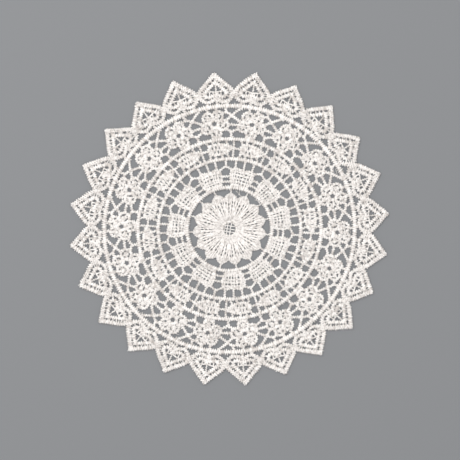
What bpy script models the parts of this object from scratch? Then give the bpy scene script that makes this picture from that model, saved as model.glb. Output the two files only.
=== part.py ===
"""A round guipure lace doily, 200 mm across, lying flat on its underside.

Guipure is one piece of dense stitching with no ground cloth. Four rings hold, from the middle out, a star,
woven blocks, ovals, flowers and a rim of hearts, and thin bars tie them together. The doily is one solid:
its underside is flat, its larger gaps go right through, and its rings and motifs stand up from the sheet.

Lengths are in millimetres and angles in degrees, counterclockwise from +X seen from above. MM turns
lengths into the scene's metres where the mesh is made.
"""

import math
import random
from collections import namedtuple

import bmesh
import bpy
from mathutils import Matrix, Vector
from mathutils.geometry import delaunay_2d_cdt

MM = 0.001
NODE = "doily"

Ring = namedtuple("Ring", "radius width crowns")  # centre line, width, raised points round it
Band = namedtuple("Band", "count phase")  # motifs round the doily, and the first one's angle
Corner = namedtuple("Corner", "turn radius")  # angle from the motif's axis, distance from the centre
Crown = namedtuple("Crown", "turn radius height")  # a raised point: the same, and its height

# Rings, from the middle out
STAR_RING = Ring(radius=26.6, width=2.0, crowns=30)
BLOCK_RING = Ring(radius=44.6, width=1.9, crowns=44)
OVAL_RING = Ring(radius=57.3, width=1.9, crowns=48)
FLOWER_RING = Ring(radius=78.2, width=2.4, crowns=72)
RINGS = (STAR_RING, BLOCK_RING, OVAL_RING, FLOWER_RING)

# Bands of motifs, from the middle out
STAR = Band(count=15, phase=15.5)
BLOCKS = Band(count=11, phase=10.6)
OVALS = Band(count=16, phase=29.8)
FLOWERS = Band(count=18, phase=17.9)
HEARTS = Band(count=24, phase=5.8)

# Heights over the surface that the doily lies on
EDGE_HEIGHT = 1.0
LOW_HEIGHT = 1.1
STITCH_HEIGHT = 1.4
RING_HEIGHT = 1.6
KNOT_HEIGHT = 1.7

BAR_WIDTH = 1.1

# Star: leaf-shaped points, each tied to the first ring by a short link
STAR_TIP = 23.5
STAR_VALLEY = 19.9
STAR_SIDE = Corner(turn=4.9, radius=21.9)
STAR_FOLD_RADII = (13.0, 17.5)
STAR_HUB_RADIUS = 9.0
CENTRE_MESH_RADIUS = 3.7
CENTRE_MESH_POINTS = 10

# Blocks: three bars run from each one's top edge to the second ring, and a forked bar stands between two
BLOCK_BAR_STEP = 7.7
BLOCK_NOTCH = 37.8
BLOCK_SHOULDER = Corner(turn=4.6, radius=38.8)
BLOCK_CORNER = Corner(turn=10.6, radius=38.1)
FORK_RADIUS = 39.7
WEAVE_TURNS = (-8.0, -2.7, 2.7, 8.0)
WEAVE_RADII = (30.4, 33.0, 35.6)

# Gaps between two blocks, half of each, from the fork's axis out
FORK_GAP = (Corner(0.0, 38.4), Corner(4.6, 37.0), Corner(5.2, 36.3), Corner(3.6, 34.3))
MIDDLE_GAP = (Corner(3.6, 33.2), Corner(4.9, 32.3), Corner(3.8, 31.5))
LOWER_GAP = (Corner(4.0, 30.0), Corner(5.4, 27.9))

# Gaps beside an oval: two at its blunt end and one at its pointed end
OVAL_GAPS = {
    "outer_blunt": (
        Corner(11.3, 56.2),
        Corner(8.6, 56.3),
        Corner(7.5, 54.2),
        Corner(8.9, 51.8),
        Corner(11.7, 51.8),
        Corner(11.9, 54.0),
    ),
    "inner_blunt": (
        Corner(11.5, 50.4),
        Corner(9.2, 50.5),
        Corner(7.8, 48.5),
        Corner(8.5, 45.9),
        Corner(11.4, 45.7),
        Corner(11.9, 48.2),
    ),
    "outer_point": (
        Corner(-6.2, 56.1),
        Corner(-9.0, 56.1),
        Corner(-9.1, 52.3),
        Corner(-6.4, 53.7),
    ),
}
OVAL_RIB_TURNS = (-4.5, 0.0, 4.0)
OVAL_RIB_RADIUS = 51.0

# Flowers: five round petals about a small eye
FLOWER_RADIUS = 67.6
PETAL_COUNT = 5
PETAL_BEARING = -30.0
PETAL_DISTANCE = 5.7
FLOWER_GAPS = {
    "outer_left": (
        Corner(9.7, 72.3),
        Corner(6.8, 76.3),
        Corner(5.6, 76.9),
        Corner(3.8, 76.8),
        Corner(4.9, 74.9),
        Corner(6.2, 72.6),
        Corner(6.4, 70.0),
    ),
    "over_crossing": (
        Corner(-6.4, 76.9),
        Corner(-10.8, 76.6),
        Corner(-8.6, 73.0),
        Corner(-6.6, 75.0),
    ),
    "under_crossing": (
        Corner(-7.5, 68.2),
        Corner(-7.3, 69.5),
        Corner(-8.5, 70.7),
        Corner(-12.3, 68.8),
        Corner(-12.3, 67.6),
        Corner(-8.3, 67.4),
    ),
    "over_vee": (
        Corner(-7.0, 64.2),
        Corner(-7.8, 65.9),
        Corner(-11.3, 65.7),
        Corner(-11.9, 64.8),
        Corner(-8.7, 62.7),
    ),
    "inner_left": (
        Corner(10.5, 59.3),
        Corner(10.2, 60.9),
        Corner(7.7, 62.5),
        Corner(3.9, 61.7),
        Corner(3.2, 60.7),
        Corner(3.9, 58.6),
    ),
    "inner_right": (
        Corner(-2.7, 58.5),
        Corner(-4.0, 61.9),
        Corner(-4.9, 62.7),
        Corner(-7.7, 60.6),
        Corner(-7.7, 58.7),
    ),
}

# Hearts: the outline of half a heart from its tip, and the gaps inside and between hearts
HEART_TIP = 100.0
TIP_VARIATION = 0.7
HEART_SIDE = (Corner(0.9, 99.1), Corner(6.5, 89.9))
HEART_JOIN = 87.8
HEART_CAVITY = (Corner(-0.3, 91.5), Corner(2.1, 89.1), Corner(1.9, 88.2))
RIM_GAP = (Corner(0.0, 84.0), Corner(2.0, 81.4), Corner(2.8, 80.4), Corner(2.7, 79.6))
HEART_CREST = (
    Crown(0.0, 98.0, RING_HEIGHT),
    Crown(0.0, 93.4, STITCH_HEIGHT),
    Crown(0.0, 84.4, STITCH_HEIGHT),
)
HEART_FLANK = (
    Crown(3.0, 93.7, RING_HEIGHT),
    Crown(5.7, 88.9, RING_HEIGHT),
    Crown(6.4, 85.5, RING_HEIGHT),
    Crown(3.6, 81.5, STITCH_HEIGHT),
    Crown(4.2, 86.7, KNOT_HEIGHT),
)

# The laid doily is pulled a little longer along one axis and drawn in across it, and its threads slip
# round the centre, to and fro twice in a turn
PULL = 0.010
PULL_AXIS = 15.7
SLIP = -0.22
SEED = 24

LACE_COLOUR = (0.80, 0.76, 0.70, 1.0)
LACE_ROUGHNESS = 0.85
SMOOTH_ANGLE = math.radians(35.0)
MERGE = 1e-7


def axes(band, offset=0.0):
    """Angles of a band's motifs, or of the places a fixed angle on from them."""
    return [band.phase + offset + 360.0 / band.count * index for index in range(band.count)]


def across(width, radius):
    """Angle that a width covers at a radius."""
    return math.degrees(width / radius)


def inner_edge(ring):
    return ring.radius - ring.width / 2


def mirrored(half):
    """A whole outline from the half on its left, without doubling points on the axis."""
    other = [corner._replace(turn=-corner.turn) for corner in reversed(half) if corner.turn > 0]
    return list(half) + other


def turned(shape, axis):
    """A motif's points, turned to the motif's own place round the doily."""
    return [point._replace(turn=point.turn + axis) for point in shape]


def star_gap():
    """Between two points of the star: its leaf sides, their links and the first ring."""
    half_step = 180.0 / STAR.count
    rim = inner_edge(STAR_RING)
    half = (
        Corner(0.0, STAR_VALLEY),
        STAR_SIDE,
        Corner(half_step - across(BAR_WIDTH / 2, STAR_TIP), STAR_TIP),
        Corner(half_step - across(BAR_WIDTH / 2, rim), rim),
        Corner(half_step / 3, rim),
    )
    return mirrored(half)


def bar_gap_over_block(side):
    """Over a block, between its middle bar and a side bar."""
    rim = inner_edge(BLOCK_RING)
    near = across(BAR_WIDTH / 2, BLOCK_NOTCH)
    far = BLOCK_BAR_STEP - near
    corners = (
        Corner(near, rim),
        Corner(near, BLOCK_NOTCH),
        BLOCK_SHOULDER,
        Corner(far, BLOCK_SHOULDER.radius),
        Corner(far, rim),
    )
    return [corner._replace(turn=corner.turn * side) for corner in corners]


def bar_gap_beside_fork(side):
    """Between a block's side bar and the forked bar, over the block's corner."""
    rim = inner_edge(BLOCK_RING)
    half_step = 180.0 / BLOCKS.count
    near = BLOCK_BAR_STEP + across(BAR_WIDTH / 2, BLOCK_CORNER.radius)
    far = half_step - across(BAR_WIDTH / 2, FORK_RADIUS)
    corners = (
        Corner(near, rim),
        Corner(near, BLOCK_SHOULDER.radius),
        BLOCK_CORNER,
        Corner(far, FORK_RADIUS),
        Corner(far, rim),
    )
    return [corner._replace(turn=corner.turn * side) for corner in corners]


def all_gaps():
    """Every gap that goes through the lace, as outlines."""
    gaps = [turned(star_gap(), axis) for axis in axes(STAR, 180.0 / STAR.count)]
    for axis in axes(BLOCKS):
        for side in (-1, 1):
            gaps.append(turned(bar_gap_over_block(side), axis))
            gaps.append(turned(bar_gap_beside_fork(side), axis))
    for axis in axes(BLOCKS, 180.0 / BLOCKS.count):
        for half in (FORK_GAP, MIDDLE_GAP, LOWER_GAP):
            gaps.append(turned(mirrored(half), axis))
    for axis in axes(OVALS):
        gaps.extend(turned(corners, axis) for corners in OVAL_GAPS.values())
    for axis in axes(FLOWERS):
        gaps.extend(turned(corners, axis) for corners in FLOWER_GAPS.values())
    gaps.extend(turned(mirrored(HEART_CAVITY), axis) for axis in axes(HEARTS))
    gaps.extend(turned(mirrored(RIM_GAP), axis) for axis in axes(HEARTS, 180.0 / HEARTS.count))
    return gaps


def rim_outline():
    """The doily's outer edge, heart by heart. The tips are not all equally long."""
    chance = random.Random(SEED)
    half_step = 180.0 / HEARTS.count
    outline = []
    for axis in axes(HEARTS):
        tip = HEART_TIP + chance.uniform(-TIP_VARIATION, TIP_VARIATION)
        right = [corner._replace(turn=-corner.turn) for corner in reversed(HEART_SIDE)]
        heart = [Corner(-half_step, HEART_JOIN)] + right + [Corner(0.0, tip)] + list(HEART_SIDE)
        outline.extend(turned(heart, axis))
    return outline


def ring_crowns():
    crowns = []
    for ring in RINGS:
        step = 360.0 / ring.crowns
        crowns.extend(Crown(step * index, ring.radius, RING_HEIGHT) for index in range(ring.crowns))
    return crowns


def star_crowns():
    """Leaf midribs stand up, the folds between leaves lie low, and the centre mesh is thin."""
    half_step = 180.0 / STAR.count
    rib = [Crown(0.0, (STAR_TIP + STAR_VALLEY) / 2, STITCH_HEIGHT)]
    rib += [Crown(0.0, radius, KNOT_HEIGHT) for radius in STAR_FOLD_RADII]
    fold = [Crown(half_step, radius, LOW_HEIGHT) for radius in STAR_FOLD_RADII]
    hub = [Crown(0.0, STAR_HUB_RADIUS, RING_HEIGHT)]
    crowns = [Crown(0.0, 0.0, EDGE_HEIGHT)]
    for axis in axes(STAR):
        crowns.extend(turned(rib + fold + hub, axis))
    for axis in axes(Band(CENTRE_MESH_POINTS, STAR.phase)):
        crowns.append(Crown(axis, CENTRE_MESH_RADIUS, LOW_HEIGHT))
    return crowns


def block_crowns():
    """The woven filling of a block: its crossings stand high and low in turn."""
    weave = []
    for row, radius in enumerate(WEAVE_RADII):
        for column, turn in enumerate(WEAVE_TURNS):
            height = KNOT_HEIGHT if (row + column) % 2 else LOW_HEIGHT
            weave.append(Crown(turn, radius, height))
    return [crown for axis in axes(BLOCKS) for crown in turned(weave, axis)]


def oval_crowns():
    rib = [Crown(turn, OVAL_RIB_RADIUS, KNOT_HEIGHT) for turn in OVAL_RIB_TURNS]
    return [crown for axis in axes(OVALS) for crown in turned(rib, axis)]


def flower_crowns():
    """A knot in the middle of each petal, and a thin eye in the flower's middle."""
    flower = [Crown(0.0, FLOWER_RADIUS, LOW_HEIGHT)]
    for index in range(PETAL_COUNT):
        bearing = math.radians(PETAL_BEARING + 360.0 / PETAL_COUNT * index)
        out = FLOWER_RADIUS + PETAL_DISTANCE * math.cos(bearing)
        aside = PETAL_DISTANCE * math.sin(bearing)
        turn = math.degrees(math.atan2(aside, out))
        flower.append(Crown(turn, math.hypot(aside, out), KNOT_HEIGHT))
    return [crown for axis in axes(FLOWERS) for crown in turned(flower, axis)]


def heart_crowns():
    heart = list(HEART_CREST)
    heart += list(HEART_FLANK)
    heart += [crown._replace(turn=-crown.turn) for crown in HEART_FLANK]
    return [crown for axis in axes(HEARTS) for crown in turned(heart, axis)]


def laid(point):
    """Where a point of the lace lies, once the laid doily is pulled out of round."""
    slipped = point.turn + SLIP * math.cos(math.radians(2.0 * point.turn))
    angle = math.radians(slipped - PULL_AXIS)
    along = point.radius * math.cos(angle) * (1.0 + PULL)
    aside = point.radius * math.sin(angle) * (1.0 - PULL)
    return Matrix.Rotation(math.radians(PULL_AXIS), 2) @ Vector((along, aside))


def counterclockwise(loop):
    """The same loop of points, running counterclockwise."""
    swept = sum(here.cross(after) for here, after in zip(loop, loop[1:] + loop[:1]))
    return loop if swept > 0 else loop[::-1]


def middle(values):
    return (min(values) + max(values)) / 2


def triangles_on_lace(points, loops):
    """Triangles between these points, inside the first loop and in none of the others."""
    _, _, triangles, sources, _, covers = delaunay_2d_cdt(points, [], loops, 0, MERGE)
    return [
        [sources[corner][0] for corner in triangle]
        for triangle, cover in zip(triangles, covers)
        if cover == [0]
    ]


def doily_mesh():
    """A flat underside and a raised top over the same gaps, with a wall round each edge."""
    points = []
    loops = []
    for outline in [rim_outline()] + all_gaps():
        loop = counterclockwise([laid(corner) for corner in outline])
        loops.append(list(range(len(points), len(points) + len(loop))))
        points.extend(loop)
    centre = Vector((middle([point.x for point in points]), middle([point.y for point in points])))
    edges = [point - centre for point in points]
    crowns = ring_crowns() + star_crowns() + block_crowns() + oval_crowns()
    crowns += flower_crowns() + heart_crowns()
    peaks = [laid(crown) - centre for crown in crowns]

    heights = [EDGE_HEIGHT for _ in edges] + [crown.height for crown in crowns]
    top = [point.to_3d() + Vector((0, 0, height)) for point, height in zip(edges + peaks, heights)]
    floor = [point.to_3d() for point in edges]
    faces = triangles_on_lace(edges + peaks, loops)
    for triangle in triangles_on_lace(edges, loops):
        faces.append([len(top) + corner for corner in reversed(triangle)])
    for loop in loops:
        for here, after in zip(loop, loop[1:] + loop[:1]):
            faces.append([here, after, len(top) + after, len(top) + here])

    mesh = bpy.data.meshes.new(NODE)
    mesh.from_pydata([vertex * MM for vertex in top + floor], [], faces)
    bm = bmesh.new()
    bm.from_mesh(mesh)
    bmesh.ops.recalc_face_normals(bm, faces=bm.faces[:])
    bm.to_mesh(mesh)
    bm.free()
    mesh.shade_smooth()
    mesh.set_sharp_from_angle(angle=SMOOTH_ANGLE)
    return mesh


def lace_material():
    material = bpy.data.materials.new("lace_thread")
    material.use_nodes = True
    surface = material.node_tree.nodes["Principled BSDF"]
    surface.inputs["Base Color"].default_value = LACE_COLOUR
    surface.inputs["Roughness"].default_value = LACE_ROUGHNESS
    surface.inputs["Metallic"].default_value = 0.0
    material.diffuse_color = LACE_COLOUR
    return material


def main():
    for old in list(bpy.data.objects):
        bpy.data.objects.remove(old, do_unlink=True)
    collection = bpy.data.collections.new("lace_doily")
    bpy.context.scene.collection.children.link(collection)
    doily = bpy.data.objects.new(NODE, doily_mesh())
    doily.data.materials.append(lace_material())
    collection.objects.link(doily)


main()
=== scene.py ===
"""Dresses the guipure lace doily: stitched cords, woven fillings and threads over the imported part.

The lace is drawn motif by motif. A motif's points are given across its axis, clockwise side positive, and
out along it from the doily's centre, in millimetres. Angles are in degrees, counterclockwise from +X seen
from above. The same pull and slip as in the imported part's own source lay the lace out of round.
"""

import logging
import math
import random
from collections.abc import Iterable, Sequence
from dataclasses import dataclass, field
from enum import Enum

import bmesh
import bpy
from mathutils import Matrix, Vector
from mathutils.geometry import delaunay_2d_cdt


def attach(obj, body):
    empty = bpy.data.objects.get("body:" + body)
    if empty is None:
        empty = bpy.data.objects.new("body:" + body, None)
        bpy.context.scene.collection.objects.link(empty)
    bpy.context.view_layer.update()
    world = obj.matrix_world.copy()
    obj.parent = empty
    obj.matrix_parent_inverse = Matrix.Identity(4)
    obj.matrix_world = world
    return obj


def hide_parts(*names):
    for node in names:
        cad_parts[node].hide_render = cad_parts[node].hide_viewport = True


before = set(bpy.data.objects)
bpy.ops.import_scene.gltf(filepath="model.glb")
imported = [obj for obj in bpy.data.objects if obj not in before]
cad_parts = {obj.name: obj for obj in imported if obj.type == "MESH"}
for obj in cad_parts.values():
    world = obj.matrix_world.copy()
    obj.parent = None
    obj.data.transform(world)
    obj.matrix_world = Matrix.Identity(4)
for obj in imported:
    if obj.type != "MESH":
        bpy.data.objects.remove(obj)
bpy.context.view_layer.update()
LOG = logging.getLogger("lace_doily")

MM = 0.001
NODE = "doily"
BODY = "root"

# A point is across a motif's axis and out along it, and a span is the least and greatest of a range
Point = tuple[float, float]
Span = tuple[float, float]
Triple = tuple[float, float, float]
Line = Sequence[Point]
Lines = Sequence[Line]
Pairs = Sequence[tuple[float, float]]
Floats = Sequence[float]
Mesh = bpy.types.Mesh
Object = bpy.types.Object
Socket = bpy.types.NodeSocket
Sockets = dict[str | int, object]

# How the lace lies: pulled longer along one axis, its motifs slipped to and fro round the centre, in degrees
# and all to one side, in millimetres, and its rim drawn a little to one side. The rings' centre is given from
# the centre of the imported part's box.
PULL = 0.010
PULL_AXIS = 15.7
SLIP = -0.22
SLIDE = -0.36
SLIDE_HEADING = 22.0
SLIDE_STARTS = 12.0
RIM_DRAW = 0.6
RIM_DRAW_HEADING = 118.0
RIM_DRAW_STARTS = 80.0
RIM_DRAW_FULL = 98.0
RINGS_CENTRE = Vector((-0.19, 0.32))

# A motif axis on which across and out are the frame's x and y
FRAME_AXIS = 90.0
CENTRE = (0.0, 0.0)

# Numbers that the lines and threads carry: the ply's turns, painted light and shade, a line's half width, its
# height
PLY, PAINTED_LIGHT, HALF_WIDTH, LEVEL = "ply", "tone", "half_width", "level"


class Stitch(Enum):
    """How a cord's top is worked."""

    NARROW = "narrow zigzag"
    BROAD = "broad zigzag"
    PLAIN = "plain thread"


@dataclass(frozen=True)
class Gauge:
    """One thickness of cord, in millimetres, and the zigzag stitches over it."""

    name: str
    width: float
    height: float
    stitch: Stitch
    pitch: float = 0.7
    thread: float = 0.58
    core: float = 0.62
    jitter: float = 0.16


BAR = Gauge("bar", 1.62, 0.95, Stitch.NARROW, core=0.6)
FINE_BAR = Gauge("fine_bar", 1.12, 0.9, Stitch.NARROW, pitch=0.65, thread=0.56)
EDGING = Gauge("edging", 1.5, 1.1, Stitch.NARROW)
PETAL = Gauge("petal", 1.65, 1.35, Stitch.NARROW, thread=0.6, core=0.66, jitter=0.1)
EYE = Gauge("eye", 2.1, 1.25, Stitch.NARROW, jitter=0.1)
HEART_ROW = Gauge("heart_row", 1.95, 1.3, Stitch.NARROW, pitch=0.73, thread=0.56, core=0.5, jitter=0.22)
HEART_BAND = Gauge("heart_band", 2.55, 1.4, Stitch.BROAD, jitter=0.12)
RING = Gauge("ring", 2.45, 1.5, Stitch.BROAD, jitter=0.14)
THREAD = Gauge("thread", 0.6, 0.5, Stitch.PLAIN, core=1.0)
WOVEN = Gauge("woven", 0.58, 0.45, Stitch.PLAIN, core=1.0)
WISP = Gauge("wisp", 0.28, 0.24, Stitch.PLAIN, core=1.0)


class Nodes:
    """A node tree under construction."""

    def __init__(self, group: bpy.types.NodeTree) -> None:
        """Starts on a tree."""
        self.group = group

    def fill(self, node: bpy.types.Node, sockets: Sockets) -> None:
        """Links or sets a node's inputs.

        Args:
            node: The node.
            sockets: A socket to link, or a value to set, for each input, by its name or index.
        """
        for key, value in sockets.items():
            if isinstance(value, Socket):
                self.group.links.new(value, node.inputs[key])
            else:
                node.inputs[key].default_value = value

    def add(self, kind: str, sockets: Sockets | None = None, **settings: object) -> bpy.types.NodeOutputs:
        """Adds a node.

        Args:
            kind: The node's type.
            sockets: What its inputs are linked or set to.
            settings: Its properties.

        Returns:
            Its outputs.
        """
        node = self.group.nodes.new(kind)
        for title, value in settings.items():
            setattr(node, title, value)
        self.fill(node, sockets or {})
        return node.outputs

    def math(self, operation: str, *values: Socket | float) -> Socket:
        """Adds a Math node and returns its value."""
        return self.add("ShaderNodeMath", dict(enumerate(values)), operation=operation)[0]


@dataclass(frozen=True)
class LaceThread:
    """A finish of twisted cotton: warm off-white, satiny where the stitches stand up."""

    name: str
    colour: Triple
    # The dark end of the tint: painted shade, painted light and shade, and random mottling and yellowing take
    # the colour towards it
    shade: Triple
    roughness: float
    sheen: float
    ply_depth: float
    sheen_roughness: float = 0.45
    specular: float = 0.35
    bump: float = 0.06

    def material(self, ply: bpy.types.NodeTree) -> bpy.types.Material:
        """Builds the material.

        Args:
            ply: The shared group that twists the thread's plies.

        Returns:
            The new material.
        """
        material = bpy.data.materials.new(self.name)
        material.use_nodes = True
        material.diffuse_color = (*self.colour, 1.0)
        nodes = Nodes(material.node_tree)
        sizes = {"Roughness": self.roughness, "Ply depth": self.ply_depth}
        twist = nodes.add("ShaderNodeGroup", sizes, node_tree=ply)
        tones = {"Factor": twist["Tint"], "A": (*self.shade, 1.0), "B": (*self.colour, 1.0)}
        relief = {"Distance": self.bump * MM, "Height": twist["Height"]}
        surface = {
            "Base Color": nodes.add("ShaderNodeMix", tones, data_type="RGBA")["Result"],
            "Roughness": twist["Roughness"],
            "Normal": nodes.add("ShaderNodeBump", relief)["Normal"],
            "Metallic": 0.0,
            "Sheen Weight": self.sheen,
            "Sheen Roughness": self.sheen_roughness,
            "Specular IOR Level": self.specular,
        }
        nodes.fill(material.node_tree.nodes["Principled BSDF"], surface)
        return material


# The threads of the stitches, the padding under them and the fillings; the padding is painted darker, as shade
THREADS = (
    LaceThread("stitch_thread", (0.985, 0.95, 0.92), (0.64, 0.59, 0.555), 0.55, 0.3, 0.8),
    # Painted shade: the padding is darker than the stitches, so the gaps between the stitches read as shadow
    LaceThread("core_thread", (0.82, 0.775, 0.74), (0.56, 0.52, 0.49), 0.75, 0.2, 0.6),
    LaceThread("filling_thread", (0.93, 0.89, 0.86), (0.56, 0.52, 0.49), 0.65, 0.25, 0.8),
)


@dataclass(frozen=True)
class PlyTwist:
    """The look that all the threads share. A noise has a scale, a detail, and a share in the tint."""

    mottle: Triple = (420.0, 3.0, 0.8)
    yellowing: Triple = (35.0, 2.0, 0.45)
    fuzz: tuple[float, float] = (5200.0, 2.0)
    fuzz_height: float = 0.9
    fuzz_roughness: float = 0.2
    # Painted shade: how much darker the tint is in the ply grooves
    groove_shade: float = 0.14
    # How the painted light and shade of each stitch enters the tint
    painted_light_span: float = 1.9
    painted_light_start: float = -0.65

    def group(self) -> bpy.types.NodeTree:
        """Builds the shared shader group.

        Returns:
            The group, with inputs Roughness and Ply depth and outputs Tint, Roughness and Height.
        """
        group = bpy.data.node_groups.new("ply_twist", "ShaderNodeTree")
        for title, value in (("Roughness", 0.6), ("Ply depth", 0.7)):
            socket = group.interface.new_socket(title, in_out="INPUT", socket_type="NodeSocketFloat")
            socket.default_value = value
        for title in ("Tint", "Roughness", "Height"):
            group.interface.new_socket(title, in_out="OUTPUT", socket_type="NodeSocketFloat")
        nodes = Nodes(group)
        given = nodes.add("NodeGroupInput")
        place = nodes.add("ShaderNodeTexCoord")["Object"]
        turns, tone = (nodes.add("ShaderNodeAttribute", attribute_name=name)["Fac"] for name in (PLY, PAINTED_LIGHT))

        def noise(scale: float, detail: float) -> Socket:
            """A noise on Object coordinates, from 0 to 1."""
            return nodes.add("ShaderNodeTexNoise", {"Vector": place, "Scale": scale, "Detail": detail})["Fac"]

        fuzz = noise(*self.fuzz)
        wave = nodes.math("SINE", nodes.math("MULTIPLY", turns, 2.0 * math.pi))
        # Painted shade: the tint darkens in each ply's groove, where the bump is low
        tint = nodes.math("MULTIPLY_ADD", wave, self.groove_shade, 0.5)
        for scale, detail, share in (self.mottle, self.yellowing):
            spots = nodes.math("SUBTRACT", noise(scale, detail), 0.5)
            tint = nodes.math("ADD", tint, nodes.math("MULTIPLY", spots, share))
        # Painted light and shade: each stitch, at random, lighter or darker as if it caught the light
        # differently
        tint = nodes.math("ADD", tint, nodes.math("MULTIPLY_ADD", tone, self.painted_light_span, self.painted_light_start))
        ridge = nodes.math("MULTIPLY", wave, given["Ply depth"])
        rub = nodes.math("MULTIPLY_ADD", fuzz, self.fuzz_roughness, -self.fuzz_roughness / 2.0)
        results = {
            "Tint": nodes.add("ShaderNodeClamp", {"Value": tint})["Result"],
            "Roughness": nodes.math("ADD", given["Roughness"], rub),
            "Height": nodes.math("ADD", ridge, nodes.math("MULTIPLY", fuzz, self.fuzz_height)),
        }
        nodes.add("NodeGroupOutput", results)
        return group


class Tree(Nodes):
    """A Geometry Nodes tree under construction. Every tree has the named inputs Wander and Material."""

    kinds = {float: "NodeSocketFloat", int: "NodeSocketInt"}
    shared = {"Wander": 0.4 * MM, "Material": "NodeSocketMaterial"}
    wander_scale = 150.0
    painted_light_seed = 7

    def __init__(self, name: str, inputs: dict[str, float | int | str]) -> None:
        """Starts the tree.

        Args:
            name: The tree's name.
            inputs: Each input's starting value, or its socket's kind where it starts empty, by its name.
        """
        super().__init__(bpy.data.node_groups.new(name, "GeometryNodeTree"))
        face = self.group.interface
        face.new_socket("Geometry", in_out="INPUT", socket_type="NodeSocketGeometry")
        self.identifiers: dict[str, str] = {}
        for title, value in {**inputs, **self.shared}.items():
            socket = face.new_socket(title, in_out="INPUT", socket_type=self.kinds.get(type(value), value))
            if type(value) in self.kinds:
                socket.default_value = value
            self.identifiers[title] = socket.identifier
        face.new_socket("Geometry", in_out="OUTPUT", socket_type="NodeSocketGeometry")
        self.given = self.add("NodeGroupInput")

    def vector(self, operation: str, sockets: Sockets) -> Socket:
        """Adds a Vector Math node and returns its vector."""
        return self.add("ShaderNodeVectorMath", sockets, operation=operation)[0]

    def place(self) -> Socket:
        """Reads where each point is."""
        return self.add("GeometryNodeInputPosition")[0]

    def split(self, vector: Socket) -> bpy.types.NodeOutputs:
        """Splits a vector into X, Y and Z."""
        return self.add("ShaderNodeSeparateXYZ", {0: vector})

    def combined(self, *parts: Socket | float) -> Socket:
        """Makes a vector of X, Y and Z."""
        return self.add("ShaderNodeCombineXYZ", dict(enumerate(parts)))[0]

    def moved(self, geometry: Socket, title: str, value: Socket) -> Socket:
        """Moves points by an Offset, or to a Position."""
        return self.add("GeometryNodeSetPosition", {"Geometry": geometry, title: value})[0]

    def named(self, name: str) -> Socket:
        """Reads a number that the geometry carries."""
        return self.add("GeometryNodeInputNamedAttribute", {"Name": name}, data_type="FLOAT")[0]

    def carrying(self, geometry: Socket, name: str, value: Socket, domain: str = "POINT") -> Socket:
        """Gives the geometry a number to carry.

        Args:
            geometry: The geometry.
            name: The number's name.
            value: The number.
            domain: Whether each point or each instance carries one.

        Returns:
            The geometry.
        """
        sockets = {"Geometry": geometry, "Name": name, "Value": value}
        settings = {"data_type": "FLOAT", "domain": domain}
        return self.add("GeometryNodeStoreNamedAttribute", sockets, **settings)[0]

    def scatter(self, low: Socket | float, high: Socket | float, seed: Socket | int) -> Socket:
        """Adds a random number for each point or stitch."""
        sockets = {2: low, 3: high, "Seed": seed}
        return self.add("FunctionNodeRandomValue", sockets, data_type="FLOAT")[1]

    def with_painted_light(self, geometry: Socket, domain: str) -> Socket:
        """Gives each stitch, or each point along a cord, random painted light and shade from 0 to 1."""
        return self.carrying(geometry, PAINTED_LIGHT, self.scatter(0.0, 1.0, self.painted_light_seed), domain)

    def cord_line(self, step: Socket) -> Socket:
        """Smooths the drawn lines into curves that wander a little, with a point at each step.

        Args:
            step: The distance from point to point.

        Returns:
            The curves.
        """
        curve = self.add("GeometryNodeMeshToCurve", {"Mesh": self.given["Geometry"]})[0]
        smooth = self.add("GeometryNodeCurveSplineType", {"Curve": curve}, spline_type="CATMULL_ROM")[0]
        spaced = self.add("GeometryNodeResampleCurve", {"Curve": smooth, "Length": step}, mode="LENGTH")[0]
        cloud = {"Vector": self.place(), "Scale": self.wander_scale, "Detail": 1.0}
        noise = self.add("ShaderNodeTexNoise", cloud)["Color"]
        drift = self.vector("SUBTRACT", {0: noise, 1: (0.5, 0.5, 0.5)})
        flat = self.vector("MULTIPLY", {0: drift, 1: (1.0, 1.0, 0.0)})
        return self.moved(spaced, "Offset", self.vector("SCALE", {0: flat, "Scale": self.given["Wander"]}))

    def finish(self, geometry: Socket) -> None:
        """Ends the tree: instances made real, undersides pressed flat on the table, and the material set.

        Args:
            geometry: What the tree has made.
        """
        real = self.add("GeometryNodeRealizeInstances", {"Geometry": geometry})[0]
        parts = self.split(self.place())
        level = self.combined(parts["X"], parts["Y"], self.math("MAXIMUM", parts["Z"], 0.0))
        dress = {"Geometry": self.moved(real, "Position", level), "Material": self.given["Material"]}
        self.add("NodeGroupOutput", {"Geometry": self.add("GeometryNodeSetMaterial", dress)[0]})


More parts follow.
